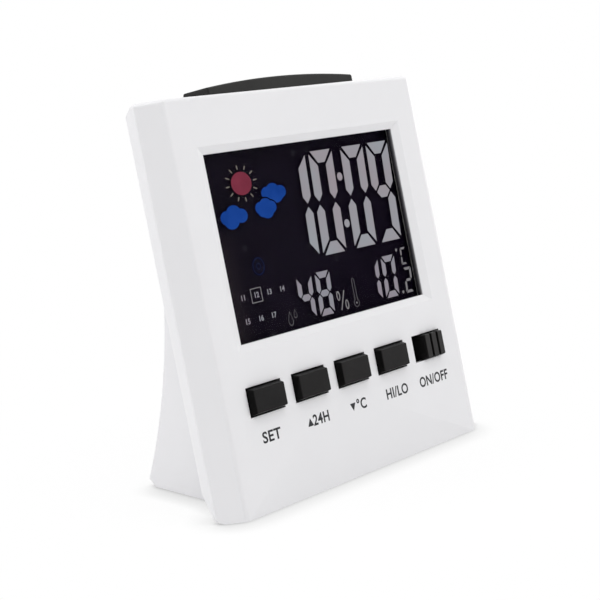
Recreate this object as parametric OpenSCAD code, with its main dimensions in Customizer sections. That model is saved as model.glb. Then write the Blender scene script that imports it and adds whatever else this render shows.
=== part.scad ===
// Desk weather station: a leaning white case with a colour display, four push keys,
// a slide switch, a snooze bar and a two-cell battery bay in its foot.
// Each sub-part is drawn in the case's own leaning frame: X across, Y back from the
// face and Z up along it. leaned() then stands it on the floor.

/* [Case] */
// Width across the widest line of the case, before that line is rounded
body_w = 95; // [93:0.5:99]
// Height of the face, measured along its slope
face_h = 86; // [84.5:0.5:88]
// Angle by which the face leans back, in degrees
lean = 14.4; // [13.5:0.1:15.5]
// Thickness of the face plate
face_t = 2.1; // [2:0.05:2.2]
// Thickness of the other walls
wall = 2; // [1.8:0.1:2.1]
// Width of each side bevel, seen from the front
bevel_w = 5.4; // [4.8:0.2:5.8]
// Depth from the face to the widest line
bevel_d = 3.6; // [3.2:0.1:4]
// Depth of the case's edge, from the face to the end of the tapered band
rim_d = 7.6; // [7.4:0.1:7.8]
// How far the tapered band draws in at the sides
rim_in = 1.8; // [1.4:0.1:2]
// How far the tapered band drops at the top
rim_drop = 2; // [1.6:0.1:2.4]
// How high the band's rear edge stands over the floor
heel_rise = 4.8; // [4.2:0.2:5.2]
// Radius along the top front edge, over the face and its side bevels
brow_r = 1; // [0.6:0.1:1.2]
// Radius along the line between the face and each side bevel
crease_r = 2; // [1.5:0.1:2.5]
// Radius along the case's widest line
edge_r = 0.6; // [0.4:0.1:0.8]
// Radius of the case's four corners, seen from the front
corner_r = 1.6; // [1:0.1:2]

/* [Back and foot] */
// How far the housing stands in from the case's widest line, each side
housing_in = 10.3; // [9.8:0.1:10.4]
// Depth of the housing at its flat upper end
back_d = 12.6; // [12.5:0.1:13.2]
// Radius of the hollow sweep from the back into the foot
sweep_r = 125; // [120:1:130]
// Depth that the foot has over and above the board, the cells and the walls between
heel_room = 8.4; // [8.2:0.1:9.1]
// Height of the bevel under the heel of the foot
heel_cut = 1.5; // [1:0.1:1.8]
// Length of the bevel under the heel
heel_run = 1.8; // [1.4:0.1:2.4]
// Bevel along the top rear edge of the housing
crown_cut = 1.2; // [0.8:0.1:1.4]

/* [Display] */
// Distance from the case's widest line to the window, each side
win_side = 14.6; // [14.5:0.1:15.5]
// Height of the window's lower edge on the face
win_low = 34.5; // [34:0.1:35]
// Distance from the window to the top of the face
win_top = 12; // [11.5:0.1:13]
// Width of the sloping border round the window
border_w = 2.2; // [1.4:0.1:2.4]
// Height of that border above and below the window
border_h = 1.6; // [1.2:0.1:1.8]
// Depth to which the border slopes in
border_d = 0.8; // [0.5:0.05:1]
// Thickness of the lens behind the window
lens_t = 0.8; // [0.7:0.05:0.9]
// How far the lens and the display reach past the window
lens_lap = 1; // [0.9:0.05:1.05]
// Thickness of each of the display's two sheets of glass
glass_t = 0.9; // [0.8:0.05:0.95]
// How far the front glass reaches below the rear one, where its contacts are
ledge_h = 2.8; // [2.4:0.1:3]
// Thickness of the light guide
guide_t = 1.6; // [1.4:0.1:1.7]
// Width of the holder's frame round the display
frame_t = 1; // [0.9:0.05:1.05]
// Radius of the holder's stakes
stake_r = 0.4; // [0.3:0.05:0.45]
// How far those stakes stand out behind the board
stake_out = 1.3; // [1:0.1:1.6]
// Length of the strip that carries the LEDs, as a share of the light guide's height
strip_share = 0.72; // [0.6:0.02:0.85]
// Thickness of that strip
strip_t = 0.3; // [0.2:0.05:0.35]
// Length of an LED
led_h = 3; // [2.5:0.1:3.5]
// Number of LEDs
led_count = 3; // [2:1:5]

/* [Keys] */
// Height of the row of controls on the face
key_v = 22.8; // [22.4:0.1:23.2]
// Distance from the case's widest line to the row of controls, each side
key_side = 10.5; // [10.3:0.1:10.7]
// Width of the web between two openings
key_gap = 3.6; // [3.4:0.1:3.8]
// Height of each opening in the face
slot_h = 6.2; // [5.8:0.1:6.4]
// How far the keys stand out of the face
key_proud = 1.5; // [1.2:0.1:2]
// How much narrower a key's front is than its foot, each side
key_taper = 0.4; // [0.2:0.05:0.5]
// How far a key travels
key_travel = 0.6; // [0.4:0.05:0.7]
// Thickness of the collars behind the face
collar_t = 0.7; // [0.6:0.05:0.75]
// How far a key's collar reaches past its opening, each side
collar_lap = 0.35; // [0.3:0.05:0.4]
// Side of a key switch
switch_w = 6; // [5.5:0.1:6.4]
// Height of a key switch over the board
switch_h = 2.4; // [2.2:0.1:2.5]
// Radius of a key switch's plunger
plunger_r = 1.5; // [1.2:0.1:1.7]

/* [Slide switch] */
// Gap between the slider's grip and its opening at each end of the travel
grip_gap = 0.95; // [0.8:0.05:1.1]
// How far the slider travels
slide_travel = 2.4; // [2:0.1:2.5]
// Number of ribs on the grip
rib_count = 3; // [2:1:4]
// Width of the grooves between the ribs
groove_w = 0.8; // [0.5:0.1:1]
// Depth of the grooves between the ribs
groove_d = 0.9; // [0.5:0.1:1.1]
// Width of the slide switch's lever
lever_w = 1.6; // [1.4:0.1:1.8]
// Length of the slide switch's body
slider_l = 8.6; // [8:0.2:9]
// Height of the slide switch's body on the board
slider_h = 4.4; // [4:0.1:5]

/* [Snooze bar] */
// Length of the bar
bar_l = 50; // [46:0.5:52]
// Depth of the bar from front to back
bar_t = 7.2; // [6.8:0.1:7.4]
// Distance from the face to the bar's front
bar_d = 3; // [2.9:0.05:3.2]
// Height of the bar's ends over the top of the face
bar_end = 1.85; // [1.6:0.05:2.2]
// Rise of the bar's arch over its ends
bar_rise = 1.15; // [0.8:0.05:1.4]
// Thickness of the bar's skin
bar_skin = 1.2; // [1:0.1:1.4]
// How far the bar travels
bar_travel = 0.8; // [0.5:0.1:0.9]
// Width of the snooze switch
snooze_w = 6; // [5.5:0.1:6.4]
// Height of the snooze switch
snooze_h = 4; // [3.6:0.1:4.4]
// Thickness of the snooze switch on the board
snooze_t = 2.4; // [2.2:0.1:2.5]
// Width of the snooze switch's plunger
pin_w = 2.4; // [2:0.1:3]
// Thickness of that plunger
pin_t = 1.4; // [1:0.1:1.6]
// Thickness of the lips that keep the bar in
lip_t = 1; // [0.8:0.1:1.1]
// How far the lips reach past the bar's ends
lip_lap = 1.2; // [0.8:0.1:1.4]

/* [Boards and small parts] */
// Thickness of the main board
board_t = 1; // [0.8:0.05:1.05]
// Height of the board's lower edge
board_low = 11.6; // [11.4:0.1:12]
// Height of the chip, as a share of the board's free height
chip_share = 0.62; // [0.6:0.01:0.65]
// Radius of the chip's round cover
chip_r = 6; // [5:0.5:7]
// Height of the chip's cover
chip_h = 1.3; // [1:0.1:1.5]
// Distance from the housing's side to the buzzer's middle
buzzer_in = 17.2; // [15:0.2:18]
// Height of the buzzer, as a share of the board's free height
buzzer_share = 0.48; // [0.45:0.01:0.52]
// Radius of the buzzer
buzzer_r = 6; // [5:0.5:6.5]
// Height of the buzzer
buzzer_h = 3.4; // [3:0.1:3.8]
// Distance from the housing's side to the middle of the microphone and the sensor
sense_in = 15.2; // [13:0.2:17]
// Height of the microphone, as a share of the board's free height
mic_share = 0.35; // [0.33:0.01:0.37]
// Radius of the microphone
mic_r = 3; // [2.5:0.25:3.5]
// Height of the microphone
mic_h = 2.7; // [2.2:0.1:3]
// Height of the sensor, as a share of the board's free height
sensor_share = 0.7; // [0.68:0.01:0.73]
// Side of the sensor
sensor_w = 7; // [6:0.5:8]
// Height of the sensor
sensor_h = 2.2; // [1.8:0.1:2.5]
// Height of one of the sensor's own slits
slit_h = 0.8; // [0.6:0.1:0.9]
// Distance from one of those slits to the next
slit_pitch = 1.7; // [1.5:0.1:1.9]
// Height of the capacitors, as a share of the board's free height
can_share = 0.17; // [0.15:0.01:0.2]
// Distance from each capacitor to the case's middle
can_x = 7; // [6:0.5:8]
// Radius of a capacitor
can_r = 2.5; // [2:0.25:2.75]
// Height of a capacitor
can_h = 5; // [4:0.2:5.4]
// Height of the quartz crystal, as a share of the board's free height
quartz_share = 0.35; // [0.33:0.01:0.4]
// Radius of the quartz crystal
quartz_r = 1; // [0.8:0.1:1.2]
// Length of the quartz crystal
quartz_l = 6; // [5:0.5:7]

/* [Battery bay] */
// Radius of a cell
cell_r = 5.25; // [5.2:0.05:5.3]
// Length of a cell
cell_l = 44.5; // [44:0.1:44.8]
// Thickness of a cell's sleeve
sleeve_t = 0.2; // [0.15:0.05:0.3]
// Radius of a cell's nub
nub_r = 1.9; // [1.7:0.1:2.1]
// Height of a cell's nub
nub_h = 1; // [0.8:0.1:1.2]
// Length of bare can that shows at each end of the sleeve
bare_end = 1; // [0.6:0.1:1.2]
// Distance between the two cells' centres
cell_pitch = 11.2; // [11:0.1:11.4]
// Room at each end of the cells for their contacts
contact_room = 2.35; // [2.2:0.05:2.5]
// Thickness of the bay's end walls
bay_end_t = 3.4; // [3:0.1:3.6]
// Thickness of the bay's front wall
bay_wall = 1.2; // [1:0.05:1.25]
// Width of the ledge that the door lies on, at its sides and top
door_ledge = 1.6; // [1.4:0.05:1.7]
// Width of that ledge under the door's lower edge
door_sill = 0.8; // [0.7:0.05:0.9]
// Thickness of the door
door_t = 1.6; // [1.4:0.1:1.7]
// Height of the rib inside the door
door_rib_h = 1.5; // [1.2:0.1:1.8]
// Thickness of the rib inside the door
door_rib_t = 1; // [0.8:0.1:1.4]
// Width of the tongue that clips the door in
tongue_w = 12; // [10:0.5:14]
// Length of that tongue
tongue_l = 5; // [4:0.2:6]
// Number of grooves across that tongue
grip_count = 3; // [2:1:4]
// Radius of the hollow over the door for a thumb
scoop_r = 9; // [7:0.5:10]
// Depth of that hollow
scoop_d = 1.2; // [1:0.1:1.3]
// Thickness of the contact plates
plate_t = 0.3; // [0.25:0.05:0.35]
// Side of the contact plates
plate_w = 8.8; // [8:0.2:9.4]
// Width of the contact leaves
leaf_w = 4; // [3:0.2:5]
// Radius of the leads from the contacts to the board
lead_r = 0.6; // [0.5:0.05:0.7]

/* [Screws and vents] */
// Radius of a case screw's head
head_r = 2; // [1.8:0.1:2.1]
// Radius of a screw's shank
shank_r = 0.9; // [0.8:0.05:1]
// Thickness of a screw's head
head_t = 1.1; // [0.9:0.05:1.2]
// Radius of the posts that take the screws
post_r = 2.3; // [2.1:0.1:2.4]
// Radius of a sound hole
sound_r = 0.8; // [0.6:0.05:1]
// Radius of the ring of sound holes
sound_ring = 3.6; // [3:0.1:4.2]
// Number of holes in that ring
sound_count = 6; // [5:1:8]
// Length of a vent slot
vent_l = 12; // [8:0.5:14]
// Height of a vent slot
vent_h = 1.2; // [1:0.1:1.4]
// Distance from one vent slot to the next
vent_pitch = 2.6; // [2.4:0.1:3]
// Number of vent slots
vent_count = 5; // [3:1:6]

/* [Fits] */
// Gap round pieces that move
play = 0.3; // [0.25:0.05:0.3]
// Gap between pieces that are fixed together
fit = 0.1; // [0.08:0.01:0.12]

/* [Hidden] */
$fn = 48;
over = 1;

white = [0.93, 0.93, 0.94];
black = [0.12, 0.12, 0.12];
steel = [0.75, 0.76, 0.78];

// The case's outline in the leaning frame
housing_w = body_w - 2 * housing_in;
win_w = body_w - 2 * win_side;
win_high = face_h - win_top;
face_half = body_w / 2 - bevel_w;
rim_half = body_w / 2 - rim_in;
crown_v = face_h - rim_drop;
ceiling_v = crown_v - wall;
heel_v = (heel_rise + rim_d * sin(lean)) / cos(lean);
inner_half = rim_half - wall;
plate_d = rim_d - wall;
sill_v = heel_v + wall / cos(lean);

// Depths behind the face, front to back
lens_d = face_t + fit;
lcd_d = lens_d + lens_t + fit;
rear_glass_d = lcd_d + glass_t;
guide_d = rear_glass_d + glass_t + fit;
board_d = guide_d + guide_t + fit;
board_back = board_d + board_t;
part_d = board_back + fit;
collar_d = face_t + play;
collar_back = collar_d + collar_t;
switch_d = board_d - switch_h;
bay_front_d = board_back + play;

// The hollow sweep, which runs down to the heel. Its centre is given in the leaning
// frame and over the floor
foot_d = bay_front_d + bay_wall + 2 * cell_r + wall + door_t + heel_room;
heel_d = foot_d * cos(lean) - heel_cut * sin(lean);
heel_top_v = foot_d * sin(lean) + heel_cut * cos(lean);
sweep_d = back_d + sweep_r;
sweep_v = heel_top_v + sqrt(pow(sweep_r, 2) - pow(sweep_d - heel_d, 2));
sweep_y = sweep_v * sin(lean) + sweep_d * cos(lean);
sweep_z = sweep_v * cos(lean) - sweep_d * sin(lean);
crown_y = (crown_v - crown_cut) * sin(lean) + back_d * cos(lean);
case_depth = max(crown_y, foot_d);

// The display
lens_half = win_w / 2 + lens_lap;
lens_low = win_low - lens_lap;
lens_high = win_high + lens_lap;
ledge_low = lens_low - ledge_h;
strip_v = (lens_low + lens_high) / 2;
strip_l = (lens_high - lens_low) * strip_share;
holder_low = ledge_low - fit - frame_t;
holder_high = lens_high + fit + frame_t;
holder_half = lens_half + fit + frame_t;
stake_x = lens_half - frame_t;

// The controls
key_pitch = (body_w - 2 * key_side) / 5;
slot_w = key_pitch - key_gap;
grip_w = slot_w - slide_travel - 2 * grip_gap;
cap_w = slot_w - 2 * play;
cap_h = slot_h - 2 * play;
slider_x = 2 * key_pitch + slide_travel / 2;
shutter_left = 2 * key_pitch - slot_w / 2 - collar_lap;
shutter_right = 2 * key_pitch + slot_w / 2 + collar_lap + slide_travel;

// The snooze bar
bar_back = bar_d + bar_t;
bar_top = face_h + bar_end + bar_rise;
bar_r = (pow(bar_l / 2, 2) + pow(bar_rise, 2)) / (2 * bar_rise);
lip_top = ceiling_v - play;
lip_low = lip_top - lip_t;

// The board
board_half = housing_w / 2 - wall - 4 * fit;
board_high = lip_low - bar_travel - play;
snooze_high = board_high - play;
chip_ball = (pow(chip_r, 2) + pow(chip_h, 2)) / (2 * chip_h);

// The battery bay, measured from the sweep's centre along its middle line
bay_half = cell_l / 2 + contact_room;
cell_ring = sweep_r + wall + cell_r + play;
cell_step = 2 * asin(cell_pitch / 2 / cell_ring);
cell_low_z = wall + cell_r + 2 * play;
cell_low_y = sweep_y - sqrt(pow(cell_ring, 2) - pow(sweep_z - cell_low_z, 2));
cell_low_angle = atan2(sweep_z - cell_low_z, sweep_y - cell_low_y) + lean;
bay_angle = cell_low_angle - cell_step / 2;
bay_span = cell_pitch / 2 + cell_r + play;
bay_floor = cell_ring + cell_r + 1.5 * play;
door_half_w = bay_half + door_ledge;
door_high = bay_span + door_ledge;
door_low = bay_span + door_sill;
pocket_t = door_t + play;
lead_edge = cell_ring + plate_w / 2;
bay_top_v = sweep_v - (sweep_d - bay_front_d) * tan(bay_angle) + (door_high + wall) / cos(bay_angle);

// Parts on the back of the board, between the bay and the snooze switch
parts_h = snooze_high - snooze_h - bay_top_v;
chip_v = bay_top_v + parts_h * chip_share;
buzzer_v = bay_top_v + parts_h * buzzer_share;
mic_v = bay_top_v + parts_h * mic_share;
sensor_v = bay_top_v + parts_h * sensor_share;
can_v = bay_top_v + parts_h * can_share;
quartz_v = bay_top_v + parts_h * quartz_share;
buzzer_x = housing_w / 2 - buzzer_in;
sense_x = housing_w / 2 - sense_in;

// Screws
post_x = inner_half - post_r - play;
post_low = sill_v + post_r + 2 * play;
post_high = ceiling_v - post_r - 2 * play;
screw_head_d = rim_d - head_t;
board_post_v = lead_v(-1) + lead_r + head_r + play;
board_post_x = board_half - post_r - play;

// The angle to a cell from the sweep's centre, and the height and depth of its lead
function cell_turn(i) = bay_angle - i * cell_step / 2;
function lead_v(i) = sweep_v - lead_edge * sin(cell_turn(i)) + plate_w / 4 * cos(cell_turn(i));
function lead_d(i) = sweep_d - lead_edge * cos(cell_turn(i)) - plate_w / 4 * sin(cell_turn(i));

// Stands the leaning frame on the floor, with the origin under the case's middle
module leaned() {
  translate([0, -case_depth / 2, 0]) rotate([-lean, 0, 0]) children();
}

// A block that is centred on x, between two depths and two heights
module block(w, d0, d1, v0, v1, x = 0) {
  translate([x - w / 2, d0, v0]) cube([w, d1 - d0, v1 - v0]);
}

// A round peg that runs back from one depth to another
module peg(r, d0, d1, x, v) {
  translate([x, d0, v]) rotate([-90, 0, 0]) cylinder(r = r, h = d1 - d0);
}

// A side profile, given as depth and height, drawn out across the case
module across(w) {
  rotate([90, 0, 90]) linear_extrude(height = w, center = true) children();
}

// Moves to the bay's middle line: Y runs in from the door, Z up along it
module bay_frame() {
  translate([0, sweep_d, sweep_v]) rotate([bay_angle, 0, 0]) mirror([0, 1, 0]) children();
}

// Runs a shape, drawn across and up, from one depth to another
module deep(d0, d1) {
  translate([0, d1, 0]) rotate([90, 0, 0]) linear_extrude(height = d1 - d0) children();
}

// What an arc takes off the corner at b, between the sides that run to a and to c
module corner_cut(a, b, c, r) {
  to_a = (a - b) / norm(a - b);
  to_c = (c - b) / norm(c - b);
  half = acos(to_a * to_c) / 2;
  inward = (to_a + to_c) / norm(to_a + to_c);
  middle = b + inward * r / sin(half);
  grow = (r + over) / r;
  difference() {
    polygon([
      middle, middle + (b + to_a * r / tan(half) - middle) * grow,
      b - inward * over / sin(half), middle + (b + to_c * r / tan(half) - middle) * grow
    ]);
    translate(middle) circle(r = r);
  }
}

// Outline of the front shell seen from above, with its lines rounded
module front_plan() {
  difference() {
    polygon([
      [-face_half, 0], [face_half, 0], [body_w / 2, bevel_d],
      [rim_half, rim_d], [-rim_half, rim_d], [-body_w / 2, bevel_d]
    ]);
    for (side = [-1, 1]) {
      corner_cut([0, 0], [side * face_half, 0], [side * body_w / 2, bevel_d], crease_r);
      corner_cut(
        [side * face_half, 0], [side * body_w / 2, bevel_d], [side * rim_half, rim_d], edge_r
      );
    }
  }
}

// What rounds the four corners, the upper ones square to the face and the lower ones level,
// and the upper edge of each side bevel
module front_corners() {
  for (side = [-1, 1]) {
    translate([side * face_half, 0, 0]) rotate([0, 0, side * atan(bevel_d / bevel_w)])
      across(2 * (norm([bevel_w, bevel_d]) + brow_r)) brow_cut();
    deep(-over, rim_d + over)
      corner_cut([0, face_h], [side * body_w / 2, face_h], [side * body_w / 2, 0], corner_r);
    rotate([lean, 0, 0]) deep(-over, rim_d + over)
      corner_cut([0, 0], [side * body_w / 2, 0], [side * body_w / 2, face_h], corner_r);
  }
}

// What rounds the top front edge
module brow_cut() {
  corner_cut([0, 0], [0, face_h], [rim_d, face_h], brow_r);
}

// Side profile of the front shell's outside
module front_profile() {
  difference() {
    polygon([
      [0, 0], [bevel_d, bevel_d * tan(lean)], [rim_d, heel_v],
      [rim_d, crown_v], [bevel_d, face_h], [0, face_h]
    ]);
    brow_cut();
  }
}

// The window's opening, with its sloping border
module window_cut() {
  half = win_w / 2;
  flare = border_w / border_d * over;
  climb = border_h / border_d * over;
  block(win_w, border_d - over, face_t + over, win_low, win_high);
  intersection() {
    linear_extrude(height = face_h) polygon([
      [-half - border_w - flare, -over], [half + border_w + flare, -over],
      [half, border_d], [-half, border_d]
    ]);
    across(body_w) polygon([
      [-over, win_low - border_h - climb], [border_d, win_low],
      [border_d, win_high], [-over, win_high + border_h + climb]
    ]);
  }
}

// The well in the top that the snooze bar drops into
module bar_well() {
  block(bar_l + 2 * play, bar_d - play, bar_back + play, ceiling_v - over, face_h + over);
}

module front_shell() {
  color(white) difference() {
    union() {
      difference() {
        intersection() {
          linear_extrude(height = face_h + over) front_plan();
          across(body_w) front_profile();
        }
        intersection() {
          linear_extrude(height = face_h + over) polygon([
            [-face_half, face_t], [face_half, face_t], [inner_half, bevel_d],
            [inner_half, rim_d + over], [-inner_half, rim_d + over], [-inner_half, bevel_d]
          ]);
          across(body_w) polygon([
            [face_t, wall], [rim_d, sill_v], [rim_d + over, sill_v],
            [rim_d + over, ceiling_v], [face_t, ceiling_v]
          ]);
        }
      }
      for (x = [-post_x, post_x], v = [post_low, post_high])
        peg(post_r, face_t - fit, plate_d - fit, x, v);
      for (x = [-board_post_x, 0, board_post_x])
        peg(post_r, face_t - fit, board_d - fit, x, board_post_v);
    }
    window_cut();
    bar_well();
    front_corners();
    for (i = [-2 : 2])
      block(slot_w, -over, face_t + over, key_v - slot_h / 2, key_v + slot_h / 2, i * key_pitch);
    for (x = [-post_x, post_x], v = [post_low, post_high])
      peg(shank_r + fit, face_t, rim_d, x, v);
    for (x = [-board_post_x, 0, board_post_x])
      peg(shank_r + fit, face_t, rim_d, x, board_post_v);
  }
}

// Side profile of the housing, drawn in by a skin's thickness
module housing_profile(skin) {
  front = skin > 0 ? plate_d - over : rim_d + fit;
  floor_z = skin;
  difference() {
    polygon([
      [front, (floor_z + front * sin(lean)) / cos(lean)],
      [sweep_d, (floor_z + sweep_d * sin(lean)) / cos(lean)],
      [sweep_d, crown_v - skin], [front, crown_v - skin]
    ]);
    translate([sweep_d, sweep_v]) circle(r = sweep_r + skin, $fn = 128);
    translate([back_d - skin, sweep_v]) square([sweep_r + 2 * skin, face_h]);
  }
}

// The bevel under the heel and the one along the top rear edge, both cut past the surface
module housing_cuts() {
  heel_over = heel_run / heel_cut * over;
  rotate([lean, 0, 0]) across(body_w) polygon([
    [foot_d - heel_run - heel_over, -over], [foot_d + heel_over, heel_cut + over],
    [foot_d + heel_over, -over]
  ]);
  across(body_w) polygon([
    [back_d - crown_cut - over, crown_v + over], [back_d + over, crown_v - crown_cut - over],
    [back_d + over, crown_v + over]
  ]);
}

// The walls round the battery bay
module bay_walls() {
  intersection() {
    bay_frame() translate([-bay_half - bay_end_t, sweep_r, -door_low - wall]) cube([
      2 * (bay_half + bay_end_t), bay_floor + bay_wall - sweep_r, door_low + door_high + 2 * wall
    ]);
    block(body_w, bay_front_d, sweep_d, 0, face_h);
    across(body_w) housing_profile(fit);
  }
}

// Moves to a point on the sweep's surface, a given way up the bay's frame, with Y into the wall
module on_sweep(z) {
  rotate([asin(z / sweep_r), 0, 0]) translate([0, sweep_r, 0]) children();
}

// The bay's hollow, the door's pocket and the hollow for a thumb
module bay_cut() {
  intersection() {
    bay_frame() translate([-bay_half, sweep_r - over, -bay_span])
      cube([2 * bay_half, bay_floor - sweep_r + over, 2 * bay_span]);
    block(body_w, bay_front_d + bay_wall, sweep_d, 0, face_h);
  }
  bay_frame() {
    door_body(pocket_t, sweep_r - over, play);
    on_sweep(door_high) translate([0, scoop_d - scoop_r, 0]) sphere(r = scoop_r);
  }
}

// A slice of the back's skin in the bay's frame, with a gap added all round
module door_body(thick, inner_r, gap) {
  half = door_half_w + gap;
  intersection() {
    rotate([0, 90, 0]) linear_extrude(height = 2 * half, center = true) difference() {
      circle(r = sweep_r + thick, $fn = 128);
      circle(r = inner_r, $fn = 128);
    }
    translate([-half, 0, -door_low - gap])
      cube([2 * half, sweep_r + thick + over, door_low + door_high + 2 * gap]);
  }
}

module rear_shell() {
  color(white) difference() {
    union() {
      difference() {
        union() {
          block(2 * (inner_half - fit), plate_d, rim_d, sill_v + fit, ceiling_v - fit);
          block(housing_w, plate_d, rim_d + 2 * fit, sill_v + fit, ceiling_v - fit);
          across(housing_w) housing_profile(0);
        }
        intersection() {
          block(housing_w - 2 * wall, plate_d - over, sweep_d, 0, face_h);
          difference() {
            across(housing_w) housing_profile(wall);
            block(housing_w, 0, rim_d + wall, 0, sill_v + wall);
          }
        }
      }
      bay_walls();
    }
    housing_cuts();
    bay_cut();
    bar_well();
    vents();
    for (i = [-1, 1]) lead_path(i, lead_r + fit);
    for (x = [-post_x, post_x], v = [post_low, post_high]) {
      peg(shank_r + fit, plate_d - over, rim_d + over, x, v);
      peg(head_r + fit, screw_head_d - fit, rim_d + over, x, v);
    }
  }
}

// Sound holes, vent slots and the microphone's hole in the back
module vents() {
  peg(sound_r, part_d + buzzer_h, sweep_d, -buzzer_x, buzzer_v);
  for (i = [0 : sound_count - 1])
    translate([-buzzer_x, 0, buzzer_v]) rotate([0, i * 360 / sound_count, 0])
      peg(sound_r, part_d + buzzer_h, sweep_d, sound_ring, 0);
  for (i = [0 : vent_count - 1])
    translate([0, 0, sensor_v + (i - (vent_count - 1) / 2) * vent_pitch])
      block(vent_l, part_d + sensor_h, sweep_d, -vent_h / 2, vent_h / 2, sense_x);
  peg(sound_r, part_d + mic_h, sweep_d, sense_x, mic_v);
}

module lens() {
  color([0.15, 0.15, 0.2, 0.5])
    block(2 * lens_half, lens_d, lens_d + lens_t, lens_low, lens_high);
}

module lcd_front_glass() {
  color([0.05, 0.05, 0.08])
    block(2 * lens_half, lcd_d, lcd_d + glass_t, ledge_low, lens_high);
}

module lcd_rear_glass() {
  color([0.1, 0.1, 0.14])
    block(2 * lens_half, rear_glass_d, rear_glass_d + glass_t, lens_low, lens_high);
}

module light_guide() {
  color([0.9, 0.95, 1, 0.7])
    block(2 * lens_half - 2 * frame_t, guide_d, guide_d + guide_t, lens_low, lens_high);
}

module led_strip() {
  color([0.85, 0.85, 0.8])
    block(strip_t, guide_d, guide_d + guide_t, strip_v - strip_l / 2, strip_v + strip_l / 2,
      lens_half - strip_t / 2);
}

module leds() {
  led_t = frame_t - strip_t - 2 * fit;
  color([0.95, 0.9, 0.6]) for (i = [0 : led_count - 1]) {
    v = strip_v + (i - (led_count - 1) / 2) * strip_l / led_count;
    block(led_t, guide_d + fit, guide_d + guide_t - fit, v - led_h / 2, v + led_h / 2,
      lens_half - strip_t - led_t / 2);
  }
}

// A frame round the glass, with stakes that hold it to the board
module display_holder() {
  color([0.9, 0.9, 0.88]) {
    difference() {
      block(2 * holder_half, lcd_d, board_d - fit, holder_low, holder_high);
      block(2 * (lens_half + fit), lcd_d - over, board_d, ledge_low - fit, lens_high + fit);
    }
    for (x = [-stake_x, stake_x], v = [holder_low + frame_t / 2, holder_high - frame_t / 2])
      peg(stake_r, board_d - 2 * fit, board_back + stake_out, x, v);
  }
}

module contact_strip() {
  color([0.3, 0.3, 0.32])
    block(2 * lens_half - 4 * frame_t, rear_glass_d + fit / 2, board_d - fit / 2,
      ledge_low + fit, lens_low - fit);
}

module main_board() {
  color([0.1, 0.4, 0.2]) difference() {
    block(2 * board_half, board_d, board_back, board_low, board_high);
    for (x = [-board_post_x, 0, board_post_x])
      peg(shank_r + fit, board_d - over, board_back + over, x, board_post_v);
    for (x = [-stake_x, stake_x], v = [holder_low + frame_t / 2, holder_high - frame_t / 2])
      peg(stake_r + fit, board_d - over, board_back + over, x, v);
  }
}

// Key switches stand on the front of the board, with a bore for the plunger
module key_switches() {
  color(steel) for (i = [-2 : 1]) difference() {
    block(switch_w, switch_d, board_d, key_v - switch_w / 2, key_v + switch_w / 2, i * key_pitch);
    peg(plunger_r + fit, switch_d - over, board_d - switch_h / 4, i * key_pitch, key_v);
  }
}

module key_plunger(i) {
  color([0.2, 0.2, 0.2])
    peg(plunger_r, collar_back, board_d - switch_h / 4 - key_travel - fit, (i - 3) * key_pitch, key_v);
}

// A key: a block whose front is drawn in on all four sides, on a collar
module key(i) {
  x = (i - 3) * key_pitch;
  half_w = cap_w / 2;
  half_h = cap_h / 2;
  color(black) {
    intersection() {
      translate([x, 0, key_v - half_h]) linear_extrude(height = cap_h) polygon([
        [-half_w, 0], [-half_w + key_taper, -key_proud], [half_w - key_taper, -key_proud],
        [half_w, 0], [half_w, collar_back], [-half_w, collar_back]
      ]);
      across(body_w) polygon([
        [0, key_v - half_h], [-key_proud, key_v - half_h + key_taper],
        [-key_proud, key_v + half_h - key_taper], [0, key_v + half_h],
        [collar_back, key_v + half_h], [collar_back, key_v - half_h]
      ]);
    }
    block(slot_w + 2 * collar_lap, collar_d, collar_back,
      key_v - slot_h / 2 - collar_lap, key_v + slot_h / 2 + collar_lap, x);
  }
}

// The slide switch's body, with the slot that its lever runs in
module slide_switch() {
  middle = 2 * key_pitch;
  color(steel) difference() {
    block(slider_l, switch_d, board_d, key_v - slider_h / 2, key_v + slider_h / 2, middle);
    block(slide_travel + lever_w + 2 * play, switch_d - over, board_d - switch_h / 4,
      key_v - lever_w / 2 - play / 2, key_v + lever_w / 2 + play / 2, middle);
  }
}

module slide_lever() {
  color([0.2, 0.2, 0.2])
    block(lever_w, collar_back, board_d - switch_h / 4 - play,
      key_v - lever_w / 2, key_v + lever_w / 2, slider_x);
}

// The slider: a ribbed grip on a shutter that keeps the opening closed
module slide_knob() {
  rib_w = (grip_w - (rib_count - 1) * groove_w) / rib_count;
  color(black) difference() {
    union() {
      block(grip_w, -key_proud, collar_back, key_v - cap_h / 2, key_v + cap_h / 2, slider_x);
      block(shutter_right - shutter_left, collar_d, collar_back,
        key_v - slot_h / 2 - collar_lap, key_v + slot_h / 2 + collar_lap,
        (shutter_left + shutter_right) / 2);
    }
    for (i = [1 : rib_count - 1])
      block(groove_w, -key_proud - over, groove_d - key_proud, key_v - slot_h, key_v + slot_h,
        slider_x - grip_w / 2 + i * rib_w + (i - 1 / 2) * groove_w);
  }
}

// The snooze switch lies on the back of the board, with its plunger upwards
module snooze_switch() {
  color(steel) difference() {
    block(snooze_w, part_d, part_d + snooze_t, snooze_high - snooze_h, snooze_high);
    block(pin_w + 2 * fit, part_d + snooze_t / 2 - pin_t / 2 - fit, part_d + snooze_t / 2 + pin_t / 2 + fit,
      snooze_high - snooze_h / 2 - bar_travel - play, snooze_high + over);
  }
}

module snooze_plunger() {
  color([0.2, 0.2, 0.2])
    block(pin_w, part_d + snooze_t / 2 - pin_t / 2, part_d + snooze_t / 2 + pin_t / 2,
      snooze_high - snooze_h / 2, lip_low);
}

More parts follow.
